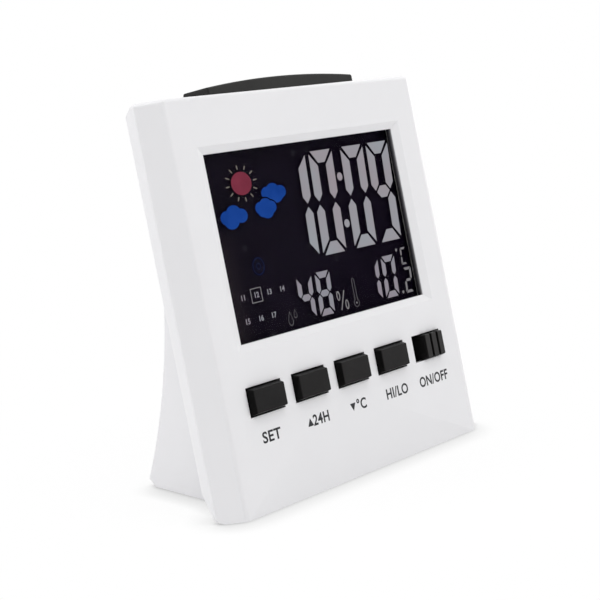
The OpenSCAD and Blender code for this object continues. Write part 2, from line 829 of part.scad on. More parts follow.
// The snooze bar: an arched skin over a rib, with a lip at each end
module snooze_bar() {
  color(black) {
    difference() {
      intersection() {
        block(bar_l, bar_d, bar_back, lip_low, bar_top);
        translate([0, bar_d, bar_top - bar_r]) rotate([-90, 0, 0])
          cylinder(r = bar_r, h = bar_t, $fn = 256);
      }
      for (side = [-1, 1])
        block(bar_l / 2 - 2 * bar_skin, bar_d + bar_skin, bar_back - bar_skin,
          lip_low - over, face_h - bar_skin, side * bar_l / 4);
    }
    for (side = [-1, 1])
      block(2 * lip_lap, bar_d + bar_skin, bar_back - bar_skin, lip_low, lip_top, side * bar_l / 2);
  }
}

// The chip's cover: a drop of resin, as a cap of a large ball
module chip_cover() {
  color([0.08, 0.08, 0.08]) intersection() {
    translate([0, part_d + chip_h - chip_ball, chip_v]) sphere(r = chip_ball, $fn = 240);
    block(2 * chip_r, part_d, part_d + chip_h, chip_v - chip_r, chip_v + chip_r);
  }
}

module quartz() {
  color(steel) translate([-quartz_l / 2, part_d + quartz_r, quartz_v]) rotate([0, 90, 0])
    cylinder(r = quartz_r, h = quartz_l);
}

module capacitors() {
  color([0.15, 0.2, 0.35]) for (i = [-1, 1])
    peg(can_r, part_d, part_d + can_h, i * can_x, can_v);
}

module buzzer() {
  color([0.1, 0.1, 0.1]) difference() {
    peg(buzzer_r, part_d, part_d + buzzer_h, -buzzer_x, buzzer_v);
    peg(sound_r, part_d + buzzer_h / 2, part_d + buzzer_h + over, -buzzer_x, buzzer_v);
  }
}

module microphone() {
  color(steel) peg(mic_r, part_d, part_d + mic_h, sense_x, mic_v);
}

// The sensor's block, with three slits that let the air in
module sensor() {
  color([0.9, 0.9, 0.92]) translate([sense_x, 0, sensor_v]) difference() {
    block(sensor_w, part_d, part_d + sensor_h, -sensor_w / 2, sensor_w / 2);
    for (i = [-1 : 1])
      translate([0, part_d + sensor_h / 2, i * slit_pitch])
        block(sensor_w - 2 * slit_pitch, 0, sensor_h, -slit_h / 2, slit_h / 2);
  }
}

// Moves to one of the two cells, with X along it
module at_cell(i) {
  bay_frame() rotate([i * cell_step / 2, 0, 0]) translate([0, cell_ring, 0])
    mirror([i < 0 ? 1 : 0, 0, 0]) children();
}

module cell_cans() {
  color(steel) for (i = [-1, 1]) at_cell(i) rotate([0, 90, 0]) {
    translate([0, 0, -cell_l / 2]) cylinder(r = cell_r - sleeve_t - fit / 2, h = cell_l - nub_h);
    translate([0, 0, cell_l / 2 - nub_h - fit]) cylinder(r = nub_r, h = nub_h + fit);
  }
}

module cell_sleeves() {
  color([0.2, 0.35, 0.6]) for (i = [-1, 1]) at_cell(i) rotate([0, 90, 0]) difference() {
    translate([0, 0, bare_end - cell_l / 2]) cylinder(r = cell_r, h = cell_l - nub_h - 2 * bare_end);
    translate([0, 0, -cell_l / 2]) cylinder(r = cell_r - sleeve_t, h = cell_l);
  }
}

// A contact plate on an end wall, with a raised stud for a cell's nub
module stud_plate() {
  gap = bay_half - plate_t - fit - cell_l / 2;
  translate([bay_half - plate_t - fit, -plate_w / 2, -plate_w / 2]) cube([plate_t, plate_w, plate_w]);
  translate([bay_half - plate_t - gap + fit / 2, 0, 0]) rotate([0, 90, 0]) cylinder(r = nub_r, h = gap);
}

// A contact plate with a bent leaf that presses on a can's end
module leaf_plate() {
  plate_half = plate_w / 2;
  base = bay_half - plate_t - fit;
  root = base + plate_t / 2;
  tip = cell_l / 2 + fit / 2;
  mirror([1, 0, 0]) {
    translate([base, -plate_half, -plate_half]) cube([plate_t, plate_w, plate_w]);
    translate([0, leaf_w / 2, 0]) rotate([90, 0, 0]) linear_extrude(height = leaf_w) polygon([
      [root, -plate_half], [tip, -plate_t], [tip, plate_t], [base - plate_t, plate_half - plate_t],
      [base - plate_t, plate_half - 2 * plate_t], [tip + plate_t, plate_t / 2],
      [tip + plate_t, -plate_t / 2], [root, plate_t - plate_half]
    ]);
  }
}

// The link joins the upper cell's can to the lower cell's nub
module contact_link() {
  color(steel) {
    at_cell(1) leaf_plate();
    at_cell(-1) stud_plate();
    bay_frame() translate([-bay_half + fit, cell_ring - plate_w / 4, -cell_pitch / 2])
      cube([plate_t, plate_w / 2, cell_pitch]);
  }
}

module contact_plus() {
  color(steel) at_cell(1) stud_plate();
}

module contact_minus() {
  color(steel) at_cell(-1) leaf_plate();
}

// A lead's path: from a contact plate's front edge through the bay's wall to the board
module lead_path(i, r) {
  end_d = lead_d(i) - lead_r * tan(cell_turn(i)) - fit / 2;
  peg(r, board_back + fit, end_d, bay_half - fit - plate_t / 2, lead_v(i));
}

module lead_plus() {
  color([0.6, 0.05, 0.05]) lead_path(1, lead_r);
}

module lead_minus() {
  color(black) lead_path(-1, lead_r);
}

// The battery door: a slice of the sweep, with a springy tongue between two slits,
// grooves on the tongue for the thumb and a rib that keeps the cells apart
module battery_door() {
  color(white) bay_frame() {
    difference() {
      door_body(door_t, sweep_r, 0);
      for (side = [-1, 1])
        translate([side * (tongue_w + door_t) / 2 - door_t / 4, sweep_r - over, door_high - tongue_l])
          cube([door_t / 2, door_t + 2 * over, tongue_l + over]);
      for (i = [1 : grip_count]) on_sweep(door_high - i * tongue_l / (grip_count + 1))
        rotate([0, 90, 0]) cylinder(r = door_t / 4, h = tongue_w - 2 * door_t, center = true);
    }
    translate([-bay_half + play, sweep_r + door_t / 2, -door_rib_t / 2])
      cube([2 * (bay_half - play), door_t / 2 + door_rib_h, door_rib_t]);
  }
}

module case_screws() {
  color(steel) for (x = [-post_x, post_x], v = [post_low, post_high]) {
    peg(head_r, screw_head_d, rim_d - fit, x, v);
    peg(shank_r, face_t + fit, screw_head_d + fit, x, v);
  }
}

module board_screws() {
  color(steel) for (x = [-board_post_x, 0, board_post_x]) {
    peg(head_r - fit, board_back + fit, board_back + fit + head_t, x, board_post_v);
    peg(shank_r, face_t + fit, board_back + 2 * fit, x, board_post_v);
  }
}

leaned() front_shell();
leaned() rear_shell();
leaned() lens();
leaned() lcd_front_glass();
leaned() lcd_rear_glass();
leaned() light_guide();
leaned() led_strip();
leaned() leds();
leaned() display_holder();
leaned() contact_strip();
leaned() main_board();
leaned() key_switches();
leaned() slide_switch();
leaned() snooze_switch();
leaned() chip_cover();
leaned() quartz();
leaned() capacitors();
leaned() buzzer();
leaned() microphone();
leaned() sensor();
leaned() key(1);  // key_1
leaned() key(2);  // key_2
leaned() key(3);  // key_3
leaned() key(4);  // key_4
leaned() key_plunger(1);  // key_plunger_1
leaned() key_plunger(2);  // key_plunger_2
leaned() key_plunger(3);  // key_plunger_3
leaned() key_plunger(4);  // key_plunger_4
leaned() slide_knob();
leaned() slide_lever();
leaned() snooze_bar();
leaned() snooze_plunger();
leaned() cell_cans();
leaned() cell_sleeves();
leaned() contact_link();
leaned() contact_plus();
leaned() contact_minus();
leaned() lead_plus();
leaned() lead_minus();
leaned() battery_door();
leaned() case_screws();
leaned() board_screws();
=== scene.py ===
import math
import bpy
import bmesh
from mathutils import Matrix, Vector


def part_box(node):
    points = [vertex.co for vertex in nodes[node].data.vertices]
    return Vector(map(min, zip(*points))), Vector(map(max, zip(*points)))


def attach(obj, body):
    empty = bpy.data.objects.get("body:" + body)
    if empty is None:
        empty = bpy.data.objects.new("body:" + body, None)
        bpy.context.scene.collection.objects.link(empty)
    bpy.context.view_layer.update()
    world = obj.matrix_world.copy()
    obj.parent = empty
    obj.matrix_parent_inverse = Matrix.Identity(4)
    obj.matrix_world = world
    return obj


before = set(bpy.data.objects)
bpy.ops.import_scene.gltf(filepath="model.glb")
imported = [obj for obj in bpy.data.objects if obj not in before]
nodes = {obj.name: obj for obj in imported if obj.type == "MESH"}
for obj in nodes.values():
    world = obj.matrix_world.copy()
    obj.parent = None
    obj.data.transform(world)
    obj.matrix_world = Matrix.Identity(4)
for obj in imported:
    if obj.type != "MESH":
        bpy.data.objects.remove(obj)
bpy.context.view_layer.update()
mm = 0.001

caseFrame = {
    "lean": 14.4,  # degrees by which the face leans back
    "faceFront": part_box("front_shell")[0].y,  # world y of the face's lower edge
}
lean = math.radians(caseFrame["lean"])
faceOut = (0, -math.cos(lean), math.sin(lean))  # the way the face looks
faceIn = (0, math.cos(lean), -math.sin(lean))
toWorld = (Matrix.Translation((0, caseFrame["faceFront"], 0))  # from mm on the face to metres
           @ Matrix.Rotation(-lean, 4, "X")
           @ Matrix.Scale(mm, 4))
print("frame loaded:", len(nodes), "nodes")


# nodes that the materials share

contactSamples = 16


def addNode(tree, kind, where=(0, 0)):
    node = tree.nodes.new(kind)
    node.location = where
    return node


def newMaterial(name):
    mat = bpy.data.materials.new(name)
    mat.use_nodes = True
    tree = mat.node_tree
    for node in list(tree.nodes):
        tree.nodes.remove(node)
    return mat, tree, addNode(tree, "ShaderNodeOutputMaterial", (700, 0))


def addMath(tree, operation, first, second, where=(0, 0)):
    node = addNode(tree, "ShaderNodeMath", where)
    node.operation = operation
    tree.links.new(first, node.inputs[0])
    tree.links.new(second, node.inputs[1])
    return node.outputs["Value"]


def addDot(tree, vector, direction, where):
    # how far a vector runs along a fixed direction
    node = addNode(tree, "ShaderNodeVectorMath", where)
    node.operation = "DOT_PRODUCT"
    node.inputs[1].default_value = direction
    tree.links.new(vector, node.inputs[0])
    return node.outputs["Value"]


def addNoise(tree, coords, scale, detail=2, roughness=0.5, where=(-700, 0)):
    noise = addNode(tree, "ShaderNodeTexNoise", where)
    noise.inputs["Scale"].default_value = scale
    noise.inputs["Detail"].default_value = detail
    noise.inputs["Roughness"].default_value = roughness
    tree.links.new(coords.outputs["Object"], noise.inputs["Vector"])
    return noise.outputs["Fac"]


def addRamp(tree, source, stops, where=(-450, 0)):
    ramp = addNode(tree, "ShaderNodeValToRGB", where)
    first, last = ramp.color_ramp.elements[0], ramp.color_ramp.elements[1]
    first.position, last.position = stops[0][0], stops[-1][0]
    first.color, last.color = (*stops[0][1], 1), (*stops[-1][1], 1)
    for place, colour in stops[1:-1]:
        ramp.color_ramp.elements.new(place).color = (*colour, 1)
    tree.links.new(source, ramp.inputs["Fac"])
    return ramp.outputs["Color"]


def addTone(tree, source, look, spread=0.2, where=(-450, 0)):
    # from the dark to the light tone, over the middle of the noise
    stops = [(0.5 - spread, look["dark"]), (0.5 + spread, look["light"])]
    return addRamp(tree, source, stops, where)


def addRange(tree, source, low, high, reach=(0.0, 1.0), where=(-450, -250), smooth=False):
    span = addNode(tree, "ShaderNodeMapRange", where)
    if smooth:
        span.interpolation_type = "SMOOTHSTEP"
    span.inputs["From Min"].default_value = reach[0]
    span.inputs["From Max"].default_value = reach[1]
    span.inputs["To Min"].default_value = low
    span.inputs["To Max"].default_value = high
    tree.links.new(source, span.inputs["Value"])
    return span.outputs["Result"]


def addContactShade(tree, shade, normal=None):
    # darker where another surface stands close by
    contact = addNode(tree, "ShaderNodeAmbientOcclusion")
    contact.samples = contactSamples
    contact.inputs["Distance"].default_value = shade["reach"]
    if normal:
        tree.links.new(normal, contact.inputs["Normal"])
    return addRange(tree, contact.outputs["AO"], shade["tone"], 1.0, (shade["from"], shade["to"]))


def addSeenRays(tree):
    # 1 for rays from the camera and for those that metal and glass send on
    path = addNode(tree, "ShaderNodeLightPath")
    seen = path.outputs["Is Camera Ray"]
    for kind in ("Is Glossy Ray", "Is Transmission Ray"):
        seen = addMath(tree, "MAXIMUM", seen, path.outputs[kind])
    return seen


def scaleColour(tree, colour, amount, where):
    scaled = addNode(tree, "ShaderNodeVectorMath", where)
    scaled.operation = "SCALE"
    tree.links.new(colour, scaled.inputs[0])
    tree.links.new(amount, scaled.inputs["Scale"])
    return scaled.outputs["Vector"]


# moulded plastics, metal, board and print

plasticBase = {"specular": 0.5, "metal": 0.0, "coat": 0.0, "coatRough": 0.1}
# painted shade on the sides of the keys and the knob, from a side to the front
sideShadeTurn = (0.35, 0.95)  # from a side of a key to its front, by how much it looks the face's way


def darkenSides(tree, coords, colour, share):
    # painted shade: the sides of a key, which stand in its slot, are darkened against its front
    facing = addDot(tree, coords.outputs["Normal"], faceOut, (-700, 400))
    depth = addRange(tree, facing, share, 1.0, sideShadeTurn, (-450, 450))
    return scaleColour(tree, colour, depth, (-100, 300))


def shadeCreases(tree, coords, colour, look):
    # soft shade beside the keys, which stops above the lower edge, where the floor has its own
    split = addNode(tree, "ShaderNodeSeparateXYZ")
    tree.links.new(coords.outputs["Object"], split.inputs["Vector"])
    shade = addContactShade(tree, look["crease"])
    low = addRange(tree, split.outputs["Z"], 1.0, 0.0, look["creaseHeights"])
    return scaleColour(tree, colour, addMath(tree, "MAXIMUM", shade, low), (-100, 300))


def plastic(name, look):
    look = {**plasticBase, **look}
    mat, tree, out = newMaterial(name)
    coords = addNode(tree, "ShaderNodeTexCoord", (-950, 0))
    shader = addNode(tree, "ShaderNodeBsdfPrincipled", (350, 0))
    cloudy = addNoise(tree, coords, look["blotch"], detail=4, roughness=0.6, where=(-700, 150))
    colour = addTone(tree, cloudy, look, spread=0.15, where=(-450, 200))
    # painted shade on the sides
    if "sides" in look:
        colour = darkenSides(tree, coords, colour, look["sides"])
    if "crease" in look:
        colour = shadeCreases(tree, coords, colour, look)
    tree.links.new(colour, shader.inputs["Base Color"])
    grain = addNoise(tree, coords, look["grain"], where=(-700, -250))
    tree.links.new(addRange(tree, grain, *look["rough"]), shader.inputs["Roughness"])
    bump = addNode(tree, "ShaderNodeBump", (0, -350))
    bump.inputs["Strength"].default_value = look["bump"]
    bump.inputs["Distance"].default_value = look["bumpDepth"]
    tree.links.new(grain, bump.inputs["Height"])
    tree.links.new(bump.outputs["Normal"], shader.inputs["Normal"])
    shader.inputs["Specular IOR Level"].default_value = look["specular"]
    shader.inputs["Metallic"].default_value = look["metal"]
    shader.inputs["Coat Weight"].default_value = look["coat"]
    shader.inputs["Coat Roughness"].default_value = look["coatRough"]
    tree.links.new(shader.outputs["BSDF"], out.inputs["Surface"])
    return mat


shellLook = {
    "dark": (0.812, 0.808, 0.824), "light": (0.822, 0.818, 0.834), "blotch": 60,
    "grain": 2600, "rough": (0.30, 0.38), "bump": 0.12, "bumpDepth": 0.00004, "specular": 0.45,
    # crease: painted shade beside the keys, darker where another surface stands close by
    "crease": {"reach": 0.0014, "from": 0.45, "to": 0.95, "tone": 0.45},
    "creaseHeights": (0.003, 0.006),
}
keyLook = {
    "dark": (0.0065, 0.006, 0.0062), "light": (0.0115, 0.0105, 0.0108), "blotch": 90,
    "grain": 3800, "rough": (0.36, 0.50), "bump": 0.35, "bumpDepth": 0.00006,
    # sides: painted shade, the share of the colour kept on a key's sides
    "specular": 0.09, "sides": 0.08,
}
knobLook = {
    "dark": (0.012, 0.0115, 0.0115), "light": (0.017, 0.016, 0.016), "blotch": 90,
    "grain": 3800, "rough": (0.36, 0.50), "bump": 0.35, "bumpDepth": 0.00006,
    # sides: painted shade, the share of the colour kept on the knob's sides
    "specular": 0.16, "sides": 0.4,
}
barLook = {
    "dark": (0.0078, 0.0075, 0.0070), "light": (0.0135, 0.0132, 0.0122), "blotch": 70,
    "grain": 3200, "rough": (0.42, 0.56), "bump": 0.4, "bumpDepth": 0.00006, "specular": 0.19,
}
boardLook = {
    "dark": (0.015, 0.11, 0.035), "light": (0.03, 0.17, 0.06), "blotch": 200,
    "grain": 1500, "rough": (0.3, 0.45), "bump": 0.1, "bumpDepth": 0.00003,
}
steelLook = {
    "dark": (0.52, 0.53, 0.55), "light": (0.68, 0.69, 0.71), "blotch": 300,
    "grain": 2200, "rough": (0.25, 0.4), "bump": 0.1, "bumpDepth": 0.00002, "metal": 1.0,
}
paleLook = {
    "dark": (0.62, 0.62, 0.58), "light": (0.72, 0.72, 0.68), "blotch": 150,
    "grain": 1800, "rough": (0.4, 0.55), "bump": 0.1, "bumpDepth": 0.00003,
}
darkLook = {
    "dark": (0.012, 0.012, 0.013), "light": (0.022, 0.022, 0.023), "blotch": 150,
    "grain": 2000, "rough": (0.4, 0.55), "bump": 0.1, "bumpDepth": 0.00003,
}
sleeveLook = {
    "dark": (0.03, 0.06, 0.18), "light": (0.05, 0.09, 0.24), "blotch": 90,
    "grain": 1200, "rough": (0.25, 0.32), "bump": 0.05, "bumpDepth": 0.00002, "coat": 0.4,
}
redLook = {
    "dark": (0.32, 0.02, 0.02), "light": (0.45, 0.035, 0.03), "blotch": 200,
    "grain": 1800, "rough": (0.4, 0.5), "bump": 0.1, "bumpDepth": 0.00003,
}
phosphorLook = {
    "dark": (0.75, 0.62, 0.22), "light": (0.86, 0.76, 0.38), "blotch": 400,
    "grain": 2500, "rough": (0.35, 0.45), "bump": 0.1, "bumpDepth": 0.00002,
}
guideLook = {
    "dark": (0.70, 0.74, 0.78), "light": (0.78, 0.82, 0.86), "blotch": 120,
    "grain": 1200, "rough": (0.15, 0.22), "bump": 0.03, "bumpDepth": 0.00002, "coat": 0.5,
}
printLook = {
    "dark": (0.018, 0.018, 0.02), "light": (0.035, 0.035, 0.04), "blotch": 900,
    "grain": 4000, "rough": (0.5, 0.65), "bump": 0.1, "bumpDepth": 0.00001, "specular": 0.2,
}


# the display's glass, the painted shade on its window's wall, and the lens

glassLook = {
    "dark": (0.0030, 0.0014, 0.0058), "light": (0.0062, 0.0036, 0.0098), "blotch": 110,
    "haze": (0.0180, 0.0130, 0.0170),  # paler towards the lower left corner
    "hazeAcross": (-0.0235, -0.0325), "hazeUp": (0.062, 0.046),
    "dust": (0.0340, 0.0310, 0.0390), "specks": 150, "speckSize": 0.16, "speckDepth": 0.9,
    "rough": (0.5, 0.6), "specular": 0.0,
}
# painted shade on the window's wall, its tone set by depth behind the face
wallShadeLook = {
    "from": 0.85, "to": 2.05,  # mm behind the face
    "stops": [(0.0, (0.60, 0.59, 0.61)), (0.22, (0.22, 0.215, 0.225)),
              (0.5, (0.055, 0.052, 0.06)), (1.0, (0.006, 0.005, 0.009))],
    "grain": 2600, "rough": (0.45, 0.6), "specular": 0.05,
}
lensLook = {
    "dark": (0.93, 0.93, 0.95), "light": (0.96, 0.96, 0.97), "smear": 45,
    "rough": (0.12, 0.18), "sheen": 0.0018,
}


def displayMaterial(name, look):
    mat, tree, out = newMaterial(name)
    coords = addNode(tree, "ShaderNodeTexCoord", (-1150, 0))
    shader = addNode(tree, "ShaderNodeBsdfPrincipled", (350, 0))
    cloudy = addNoise(tree, coords, look["blotch"], detail=3, roughness=0.6, where=(-900, 250))
    colour = addTone(tree, cloudy, look, where=(-450, 250))
    split = addNode(tree, "ShaderNodeSeparateXYZ", (-900, -50))
    tree.links.new(coords.outputs["Object"], split.inputs["Vector"])
    across = addRange(tree, split.outputs["X"], 0.0, 1.0, look["hazeAcross"], (-700, -50), True)
    upward = addRange(tree, split.outputs["Z"], 0.0, 1.0, look["hazeUp"], (-700, -50), True)
    haze = addMath(tree, "MULTIPLY", across, upward, (-450, -50))
    cells = addNode(tree, "ShaderNodeTexVoronoi", (-900, -350))
    cells.inputs["Scale"].default_value = look["specks"]
    tree.links.new(coords.outputs["Object"], cells.inputs["Vector"])
    speck = addRange(tree, cells.outputs["Distance"], look["speckDepth"], 0.0,
                     (0.0, look["speckSize"]), (-450, -350))
    for factor, shade, left in ((haze, look["haze"], -200), (speck, look["dust"], 50)):
        blend = addNode(tree, "ShaderNodeMix", (left, 100))
        blend.data_type = "RGBA"
        blend.inputs["B"].default_value = (*shade, 1)
        tree.links.new(factor, blend.inputs["Factor"])
        tree.links.new(colour, blend.inputs["A"])
        colour = blend.outputs["Result"]
    tree.links.new(colour, shader.inputs["Base Color"])
    rough = addRange(tree, cloudy, *look["rough"], where=(0, -250))
    tree.links.new(rough, shader.inputs["Roughness"])
    shader.inputs["Specular IOR Level"].default_value = look["specular"]
    tree.links.new(shader.outputs["BSDF"], out.inputs["Surface"])
    return mat


def liningMaterial(name, look):
    # painted shade on the window's wall, darker towards the lens
    mat, tree, out = newMaterial(name)
    coords = addNode(tree, "ShaderNodeTexCoord", (-950, 0))
    shader = addNode(tree, "ShaderNodeBsdfPrincipled", (350, 0))
    start = caseFrame["faceFront"] * math.cos(lean)
    reach = (start + look["from"] * mm, start + look["to"] * mm)
    inward = addDot(tree, coords.outputs["Object"], faceIn, (-700, 200))
    depth = addRange(tree, inward, 0.0, 1.0, reach, (-450, 200))
    tone = addRamp(tree, depth, look["stops"], (-150, 200))
    tree.links.new(tone, shader.inputs["Base Color"])
    grain = addNoise(tree, coords, look["grain"], where=(-700, -250))
    tree.links.new(addRange(tree, grain, *look["rough"]), shader.inputs["Roughness"])
    shader.inputs["Specular IOR Level"].default_value = look["specular"]
    tree.links.new(shader.outputs["BSDF"], out.inputs["Surface"])
    return mat


def lensMaterial(name, look):
    mat, tree, out = newMaterial(name)
    coords = addNode(tree, "ShaderNodeTexCoord", (-950, 0))
    clear = addNode(tree, "ShaderNodeBsdfTransparent", (0, 150))
    gloss = addNode(tree, "ShaderNodeBsdfGlossy", (0, -100))
    smear = addNoise(tree, coords, look["smear"], detail=3)
    tree.links.new(addTone(tree, smear, look), clear.inputs["Color"])
    tree.links.new(addRange(tree, smear, *look["rough"]), gloss.inputs["Roughness"])
    mixer = addNode(tree, "ShaderNodeMixShader", (350, 0))
    mixer.inputs["Fac"].default_value = look["sheen"]
    tree.links.new(clear.outputs["BSDF"], mixer.inputs[1])
    tree.links.new(gloss.outputs["BSDF"], mixer.inputs[2])
    tree.links.new(mixer.outputs["Shader"], out.inputs["Surface"])
    return mat


looks = {
    "shell": plastic("shellPlastic", shellLook),
    "key": plastic("keyPlastic", keyLook),
    "knob": plastic("knobPlastic", knobLook),
    "bar": plastic("barPlastic", barLook),
    "glass": displayMaterial("displayGlass", glassLook),
    "wallShade": liningMaterial("windowWallShade", wallShadeLook),
    "lens": lensMaterial("clearLens", lensLook),
    "board": plastic("boardLaminate", boardLook),
    "steel": plastic("platedSteel", steelLook),
    "pale": plastic("palePlastic", paleLook),
    "dark": plastic("darkPlastic", darkLook),
    "sleeve": plastic("cellSleeve", sleeveLook),
    "red": plastic("redLead", redLook),
    "phosphor": plastic("phosphor", phosphorLook),
    "guide": plastic("guideAcrylic", guideLook),
    "print": plastic("legendInk", printLook),
}
print("materials made:", len(looks))


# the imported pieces: finish and softened edges

finishes = {
    "front_shell": "shell", "rear_shell": "shell", "battery_door": "shell", "case_screws": "steel",
    "lens": "lens", "lcd_front_glass": "glass", "lcd_rear_glass": "glass", "light_guide": "guide",
    "led_strip": "pale", "leds": "phosphor", "display_holder": "pale", "contact_strip": "dark",
    "main_board": "board", "board_screws": "steel", "key_switches": "steel",
    "slide_switch": "steel", "snooze_switch": "steel", "chip_cover": "dark", "quartz": "steel",
    "capacitors": "sleeve", "buzzer": "dark", "microphone": "steel", "sensor": "pale",
    "slide_knob": "knob", "slide_lever": "dark", "snooze_bar": "bar", "snooze_plunger": "dark",
    "cell_cans": "steel", "cell_sleeves": "sleeve", "contact_link": "steel",
    "contact_plus": "steel", "contact_minus": "steel", "lead_plus": "red", "lead_minus": "dark",
}
softEdges = {  # radius in mm of each visible piece's moulded edges
    "front_shell": 0.6, "rear_shell": 0.5, "battery_door": 0.3, "snooze_bar": 0.4,
    "slide_knob": 0.25, "case_screws": 0.12, "cell_sleeves": 0.05, "cell_cans": 0.15, "lens": 0.05,
}
for number in range(1, 5):
    finishes["key_%d" % number] = "key"
    finishes["key_plunger_%d" % number] = "dark"
    softEdges["key_%d" % number] = 0.3

edgeCut = {"weld": 0.004, "steps": 3, "angle": 24}  # mm, cuts across the round, degrees


def soften(obj, radius):
    weld = obj.modifiers.new("weld", "WELD")
    weld.merge_threshold = edgeCut["weld"] * mm
    edge = obj.modifiers.new("edge", "BEVEL")
    edge.width = radius * mm
    edge.segments = edgeCut["steps"]
    edge.limit_method = "ANGLE"
    edge.angle_limit = math.radians(edgeCut["angle"])
    edge.harden_normals = True
    edge.use_clamp_overlap = True


for name, obj in nodes.items():
    obj.data.materials.clear()
    obj.data.materials.append(looks[finishes[name]])
    if name in softEdges:
        soften(obj, softEdges[name])
print("packed pieces finished")


# shapes laid on the leaning face, drawn as (across, up) points in mm

def addPiece(name, mesh, material):
    mesh.materials.clear()
    mesh.materials.append(material)
    obj = bpy.data.objects.new(name, mesh)
    bpy.context.scene.collection.objects.link(obj)
    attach(obj, "case")


def layOnFace(name, bm, material):
    bmesh.ops.recalc_face_normals(bm, faces=bm.faces)
    bmesh.ops.triangulate(bm, faces=[f for f in bm.faces if len(f.verts) > 4])
    bm.transform(toWorld)
    mesh = bpy.data.meshes.new(name)
    bm.to_mesh(mesh)
    bm.free()
    addPiece(name, mesh, material)


def slab(name, outlines, front, back, material):
    # filled outlines that run between two depths behind the face
    bm = bmesh.new()
    for points in outlines:
        near = [bm.verts.new((x, front, v)) for x, v in points]
        far = [bm.verts.new((x, back, v)) for x, v in points]
        bm.faces.new(near)
        bm.faces.new(list(reversed(far)))
        for i in range(len(points)):
            j = (i + 1) % len(points)
            bm.faces.new((near[j], near[i], far[i], far[j]))
    layOnFace(name, bm, material)


def ringSlab(name, rings, front, back, material):
    # rings are pairs of closed outlines, outer and inner, with the same number of points
    bm = bmesh.new()
    for ring in rings:
        loops = [[bm.verts.new((x, depth, v)) for x, v in line]
                 for line in ring for depth in (front, back)]
        count = len(ring[0])
        for i in range(count):
            j = (i + 1) % count
            for a, b in ((0, 2), (1, 3), (0, 1), (2, 3)):
                bm.faces.new((loops[a][i], loops[a][j], loops[b][j], loops[b][i]))
    layOnFace(name, bm, material)


def oval(cx, cv, rx, rv, count=48):
    turns = [2 * math.pi * i / count for i in range(count)]
    return [(cx + rx * math.cos(a), cv + rv * math.sin(a)) for a in turns]


def dot(cx, cv, radius, count=20):
    return oval(cx, cv, radius, radius, count)


def ovalRing(cx, cv, rx, rv, line, count=48):
    return oval(cx, cv, rx, rv, count), oval(cx, cv, rx - line, rv - line, count)


def bar(x0, v0, x1, v1, width):
    along = Vector((x1 - x0, v1 - v0)).normalized()
    side = Vector((-along.y, along.x)) * width / 2
    return [(x0 + side.x, v0 + side.y), (x0 - side.x, v0 - side.y),
            (x1 - side.x, v1 - side.y), (x1 + side.x, v1 + side.y)]


def box(x0, v0, x1, v1):
    return [(x0, v0), (x1, v0), (x1, v1), (x0, v1)]


def boxRing(x0, v0, x1, v1, line):
    return box(x0, v0, x1, v1), box(x0 + line, v0 + line, x1 - line, v1 - line)


# the lit shapes of the display

layer = {"front": 2.15, "back": 2.19}  # just before the lens, so that the frame hides no figure
glowStrength = 0.94
inkLooks = {
    "figure": {"dark": (0.335, 0.295, 0.325), "light": (0.315, 0.345, 0.375), "blotch": 75},
    "reading": {"dark": (0.29, 0.245, 0.29), "light": (0.275, 0.285, 0.32), "blotch": 90},
    "small": {"dark": (0.18, 0.175, 0.185), "light": (0.25, 0.243, 0.255), "blotch": 300},
    "ray": {"dark": (0.15, 0.135, 0.12), "light": (0.20, 0.18, 0.16), "blotch": 300},
    "faint": {"dark": (0.10, 0.095, 0.105), "light": (0.14, 0.133, 0.145), "blotch": 300},
    "sun": {"dark": (0.172, 0.029, 0.050), "light": (0.215, 0.036, 0.062), "blotch": 220},
    "cloud": {"dark": (0.008, 0.046, 0.25), "light": (0.013, 0.062, 0.31), "blotch": 220},
    "ring": {"dark": (0.004, 0.008, 0.035), "light": (0.006, 0.012, 0.050), "blotch": 220},
}


def glowMaterial(name, look):
    mat, tree, out = newMaterial(name)
    coords = addNode(tree, "ShaderNodeTexCoord", (-950, 0))
    glow = addNode(tree, "ShaderNodeEmission", (350, 0))
    glow.inputs["Strength"].default_value = glowStrength
    tone = addTone(tree, addNoise(tree, coords, look["blotch"]), look)
    tree.links.new(tone, glow.inputs["Color"])
    tree.links.new(glow.outputs["Emission"], out.inputs["Surface"])
    return mat


inks = {name: glowMaterial(name + "Glow", look) for name, look in inkLooks.items()}


def litSlab(name, outlines, ink):
    slab(name, outlines, layer["front"], layer["back"], inks[ink])


def litRings(name, rings, ink):
    ringSlab(name, rings, layer["front"], layer["back"], inks[ink])


# the figures

litSegments = {
    "0": "abcdef", "1": "bc", "2": "abged", "4": "fgbc", "8": "abcdefg", "9": "abcdfg", "C": "afed",
}
slant = 0.068
bigFigure = {"width": 8.4, "height": 23.1, "bar": 2.75, "corner": 0.62, "notch": 0.30,
             "tip": 1.5, "gap": 0.38, "middle": 4.9}
smallFigure = {"width": 5.15, "height": 9.6, "bar": 1.42, "corner": 0.45, "notch": 0.12,
               "tip": 0.72, "gap": 0.16, "middle": 3.1}
tinyFigure = {"width": 2.9, "height": 5.9, "bar": 0.62, "corner": 0.2, "notch": 0.08,
              "tip": 0.32, "gap": 0.12, "middle": 1.9}
unitFigure = {"width": 2.1, "height": 4.0, "bar": 0.48, "corner": 0.16, "notch": 0.08,
              "tip": 0.25, "gap": 0.12, "middle": 1.3}


